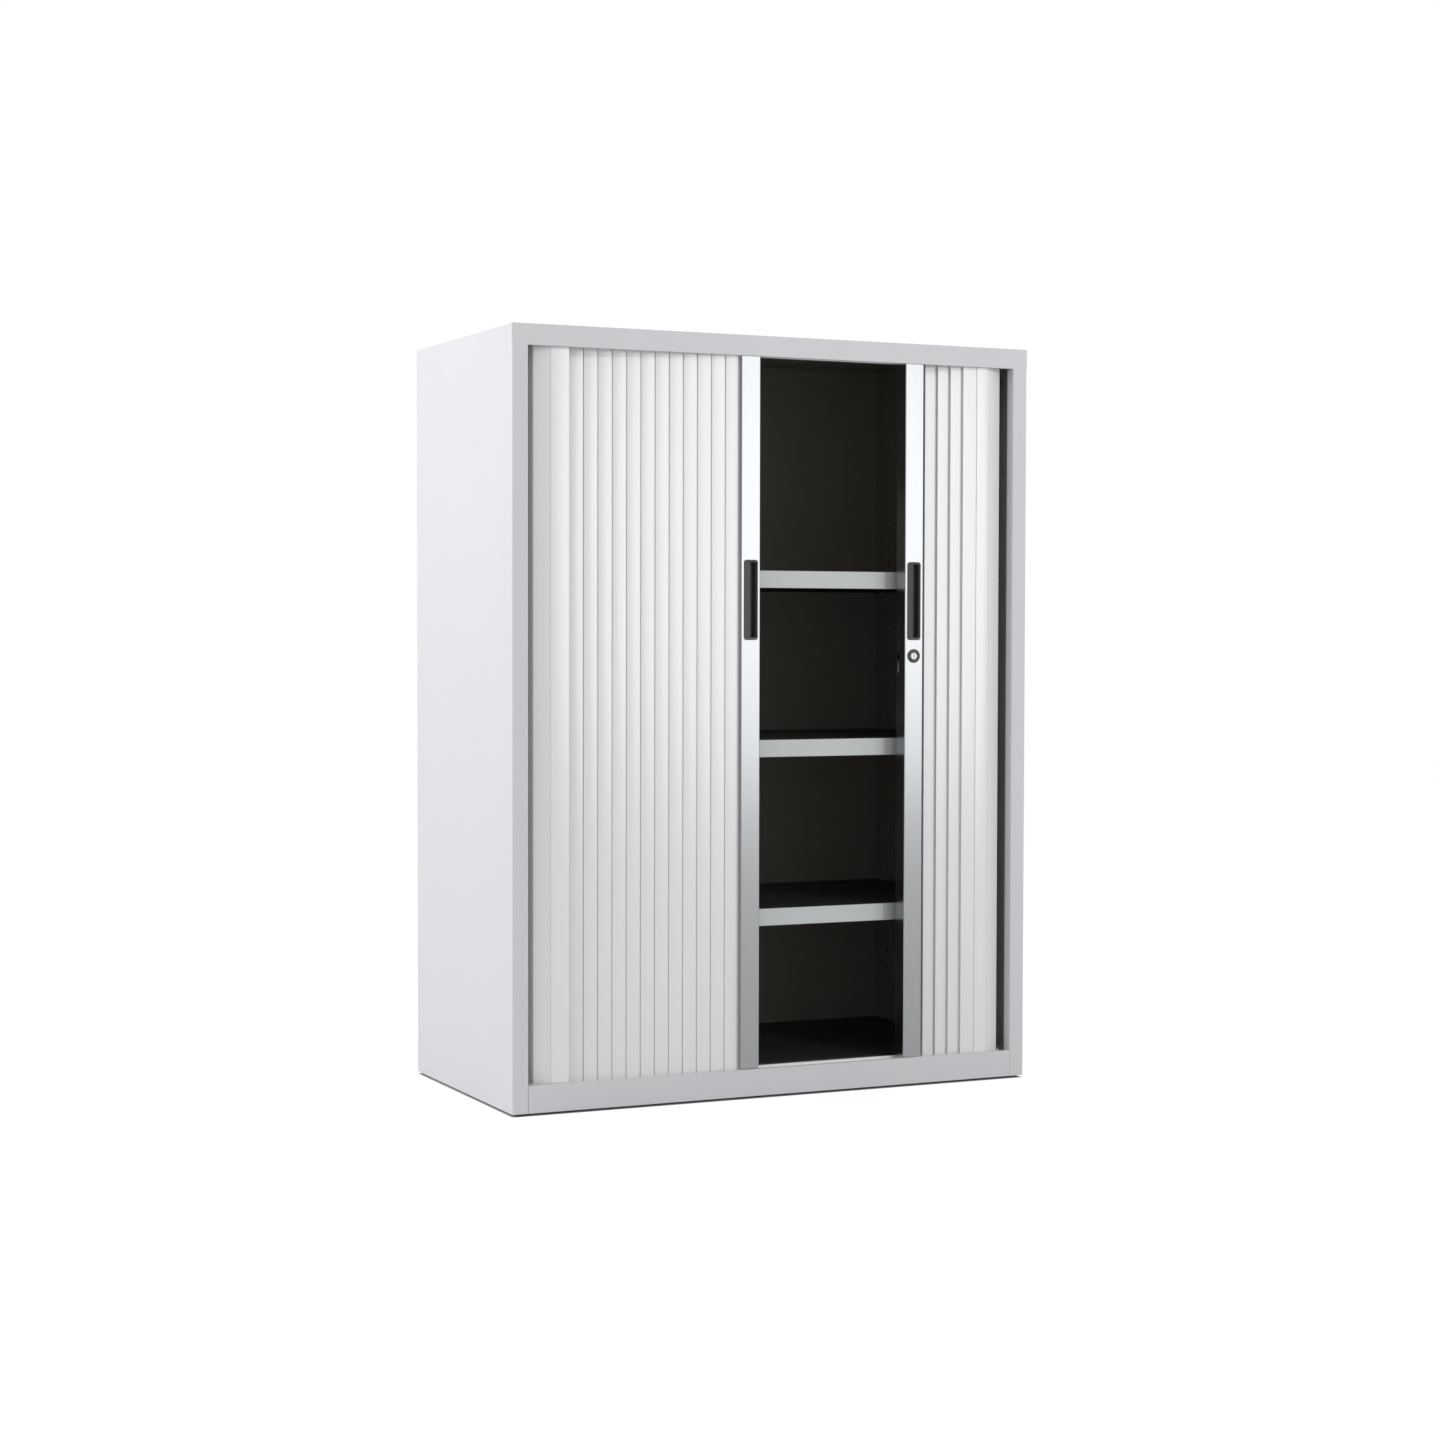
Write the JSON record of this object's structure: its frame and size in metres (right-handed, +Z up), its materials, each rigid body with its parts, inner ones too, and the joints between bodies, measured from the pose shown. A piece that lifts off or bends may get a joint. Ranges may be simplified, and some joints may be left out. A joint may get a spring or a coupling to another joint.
{
  "type": "tambour door cabinet",
  "caption": "Free-standing steel storage cupboard whose two slatted curtain doors slide sideways on tracks in front of shelves.",
  "frame": {"origin": "on the floor under the middle of the cupboard", "axes": "+X to the right seen from the front, +Y from the front to the back, +Z up"},
  "size_m": [0.9, 0.45, 1.2],
  "materials": {
    "casing_enamel": "satin powder coat",
    "interior_black": "matt black",
    "shelf_edge": "satin silver grey",
    "zinc_steel": "bright zinc",
    "black_plastic": "moulded, fine grain",
    "nickel": "nickel plated",
    "track_plastic": "extruded, pale grey",
    "glide_nylon": "natural nylon",
    "bar_enamel": "satin pearl",
    "slat_plastic": "satin pearl"
  },
  "bodies": {
    "casing": {"side_panel_left": "casing_enamel", "side_panel_right": "casing_enamel", "top_panel": "casing_enamel", "base_panel": "casing_enamel", "bottom_rail": "casing_enamel", "back_panel": "casing_enamel", "casing_rivets": "zinc_steel", "levelling_feet": "black_plastic", "foot_nuts": "zinc_steel", "inner_wall_left": "interior_black", "inner_wall_right": "interior_black", "floor_liner": "interior_black", "shelf_upper": "interior_black", "shelf_middle": "interior_black", "shelf_lower": "interior_black", "shelf_front_edges": "shelf_edge", "shelf_clips": "zinc_steel", "track_bottom": "track_plastic", "track_top": "track_plastic", "track_end_stops": "black_plastic", "left_bend_slats": "slat_plastic", "right_bend_slats": "slat_plastic", "left_side_slats": "slat_plastic", "right_side_slats": "slat_plastic"},
    "left_door": {"left_bar": "bar_enamel", "left_bar_glides": "glide_nylon", "left_handle": "black_plastic", "lock_strike": "zinc_steel", "left_slat_12": "slat_plastic"},
    "right_door": {"right_bar": "bar_enamel", "right_bar_glides": "glide_nylon", "right_handle": "black_plastic", "lock_housing": "black_plastic", "lock_nut": "zinc_steel", "right_slat_12": "slat_plastic"},
    "lock": {"lock_plug": "nickel", "lock_cam": "zinc_steel"},
    "left_curtain_01": {"left_slat_01": "slat_plastic"},
    "right_curtain_01": {"right_slat_01": "slat_plastic"},
    "left_curtain_02": {"left_slat_02": "slat_plastic"},
    "right_curtain_02": {"right_slat_02": "slat_plastic"},
    "left_curtain_03": {"left_slat_03": "slat_plastic"},
    "right_curtain_03": {"right_slat_03": "slat_plastic"},
    "left_curtain_04": {"left_slat_04": "slat_plastic"},
    "right_curtain_04": {"right_slat_04": "slat_plastic"},
    "left_curtain_05": {"left_slat_05": "slat_plastic"},
    "right_curtain_05": {"right_slat_05": "slat_plastic"},
    "left_curtain_06": {"left_slat_06": "slat_plastic"},
    "right_curtain_06": {"right_slat_06": "slat_plastic"},
    "left_curtain_07": {"left_slat_07": "slat_plastic"},
    "right_curtain_07": {"right_slat_07": "slat_plastic"},
    "left_curtain_08": {"left_slat_08": "slat_plastic"},
    "right_curtain_08": {"right_slat_08": "slat_plastic"},
    "left_curtain_09": {"left_slat_09": "slat_plastic"},
    "right_curtain_09": {"right_slat_09": "slat_plastic"},
    "left_curtain_10": {"left_slat_10": "slat_plastic"},
    "right_curtain_10": {"right_slat_10": "slat_plastic"},
    "left_curtain_11": {"left_slat_11": "slat_plastic"},
    "right_curtain_11": {"right_slat_11": "slat_plastic"}
  },
  "joints": [
    {"name": "left_door_slide", "type": "slide", "parent": "casing", "child": "left_door", "axis": [-1, 0, 0], "range_m": [-0.0335, 0.275]},
    {"name": "right_door_slide", "type": "slide", "parent": "casing", "child": "right_door", "axis": [1, 0, 0], "range_m": [-0.225, 0.08]},
    {"name": "lock_turn", "type": "hinge", "parent": "right_door", "child": "lock", "pos_m": [0.24175, -0.213, 0.698], "axis": [0, 1, 0], "range_deg": [0, 90]},
    {"name": "left_slat_01_slide", "type": "slide", "parent": "casing", "child": "left_curtain_01", "axis": [-1, 0, 0], "range_m": [-0.00289, 0.02302]},
    {"name": "right_slat_01_slide", "type": "slide", "parent": "casing", "child": "right_curtain_01", "axis": [1, 0, 0], "range_m": [-0.00113, 0.00047]},
    {"name": "left_slat_02_slide", "type": "slide", "parent": "casing", "child": "left_curtain_02", "axis": [-1, 0, 0], "range_m": [-0.00568, 0.04593]},
    {"name": "right_slat_02_slide", "type": "slide", "parent": "casing", "child": "right_curtain_02", "axis": [1, 0, 0], "range_m": [-0.02717, 0.00972]},
    {"name": "left_slat_03_slide", "type": "slide", "parent": "casing", "child": "left_curtain_03", "axis": [-1, 0, 0], "range_m": [-0.00847, 0.06885]},
    {"name": "right_slat_03_slide", "type": "slide", "parent": "casing", "child": "right_curtain_03", "axis": [1, 0, 0], "range_m": [-0.0532, 0.01898]},
    {"name": "left_slat_04_slide", "type": "slide", "parent": "casing", "child": "left_curtain_04", "axis": [-1, 0, 0], "range_m": [-0.01127, 0.09177]},
    {"name": "right_slat_04_slide", "type": "slide", "parent": "casing", "child": "right_curtain_04", "axis": [1, 0, 0], "range_m": [-0.05843, 0.02084]},
    {"name": "left_slat_05_slide", "type": "slide", "parent": "casing", "child": "left_curtain_05", "axis": [-1, 0, 0], "range_m": [-0.01406, 0.11468]},
    {"name": "right_slat_05_slide", "type": "slide", "parent": "casing", "child": "right_curtain_05", "axis": [1, 0, 0], "range_m": [-0.08447, 0.0301]},
    {"name": "left_slat_06_slide", "type": "slide", "parent": "casing", "child": "left_curtain_06", "axis": [-1, 0, 0], "range_m": [-0.01685, 0.1376]},
    {"name": "right_slat_06_slide", "type": "slide", "parent": "casing", "child": "right_curtain_06", "axis": [1, 0, 0], "range_m": [-0.1105, 0.03935]},
    {"name": "left_slat_07_slide", "type": "slide", "parent": "casing", "child": "left_curtain_07", "axis": [-1, 0, 0], "range_m": [-0.01964, 0.16052]},
    {"name": "right_slat_07_slide", "type": "slide", "parent": "casing", "child": "right_curtain_07", "axis": [1, 0, 0], "range_m": [-0.11573, 0.04121]},
    {"name": "left_slat_08_slide", "type": "slide", "parent": "casing", "child": "left_curtain_08", "axis": [-1, 0, 0], "range_m": [-0.02243, 0.18343]},
    {"name": "right_slat_08_slide", "type": "slide", "parent": "casing", "child": "right_curtain_08", "axis": [1, 0, 0], "range_m": [-0.14177, 0.05047]},
    {"name": "left_slat_09_slide", "type": "slide", "parent": "casing", "child": "left_curtain_09", "axis": [-1, 0, 0], "range_m": [-0.02523, 0.20635]},
    {"name": "right_slat_09_slide", "type": "slide", "parent": "casing", "child": "right_curtain_09", "axis": [1, 0, 0], "range_m": [-0.1678, 0.05973]},
    {"name": "left_slat_10_slide", "type": "slide", "parent": "casing", "child": "left_curtain_10", "axis": [-1, 0, 0], "range_m": [-0.02802, 0.22927]},
    {"name": "right_slat_10_slide", "type": "slide", "parent": "casing", "child": "right_curtain_10", "axis": [1, 0, 0], "range_m": [-0.17303, 0.06159]},
    {"name": "left_slat_11_slide", "type": "slide", "parent": "casing", "child": "left_curtain_11", "axis": [-1, 0, 0], "range_m": [-0.03081, 0.25218]},
    {"name": "right_slat_11_slide", "type": "slide", "parent": "casing", "child": "right_curtain_11", "axis": [1, 0, 0], "range_m": [-0.19907, 0.07084]}
  ],
  "couplings": [
    {"joint": "left_slat_01_slide", "follows": "left_door_slide", "ratio": 0.08333},
    {"joint": "right_slat_01_slide", "follows": "right_door_slide", "ratio": 0.00459},
    {"joint": "left_slat_02_slide", "follows": "left_door_slide", "ratio": 0.16667},
    {"joint": "right_slat_02_slide", "follows": "right_door_slide", "ratio": 0.1203},
    {"joint": "left_slat_03_slide", "follows": "left_door_slide", "ratio": 0.25},
    {"joint": "right_slat_03_slide", "follows": "right_door_slide", "ratio": 0.236},
    {"joint": "left_slat_04_slide", "follows": "left_door_slide", "ratio": 0.33333},
    {"joint": "right_slat_04_slide", "follows": "right_door_slide", "ratio": 0.25926},
    {"joint": "left_slat_05_slide", "follows": "left_door_slide", "ratio": 0.41667},
    {"joint": "right_slat_05_slide", "follows": "right_door_slide", "ratio": 0.37496},
    {"joint": "left_slat_06_slide", "follows": "left_door_slide", "ratio": 0.5},
    {"joint": "right_slat_06_slide", "follows": "right_door_slide", "ratio": 0.49067},
    {"joint": "left_slat_07_slide", "follows": "left_door_slide", "ratio": 0.58333},
    {"joint": "right_slat_07_slide", "follows": "right_door_slide", "ratio": 0.51393},
    {"joint": "left_slat_08_slide", "follows": "left_door_slide", "ratio": 0.66667},
    {"joint": "right_slat_08_slide", "follows": "right_door_slide", "ratio": 0.62963},
    {"joint": "left_slat_09_slide", "follows": "left_door_slide", "ratio": 0.75},
    {"joint": "right_slat_09_slide", "follows": "right_door_slide", "ratio": 0.74533},
    {"joint": "left_slat_10_slide", "follows": "left_door_slide", "ratio": 0.83333},
    {"joint": "right_slat_10_slide", "follows": "right_door_slide", "ratio": 0.76859},
    {"joint": "left_slat_11_slide", "follows": "left_door_slide", "ratio": 0.91667},
    {"joint": "right_slat_11_slide", "follows": "right_door_slide", "ratio": 0.8843}
  ]
}
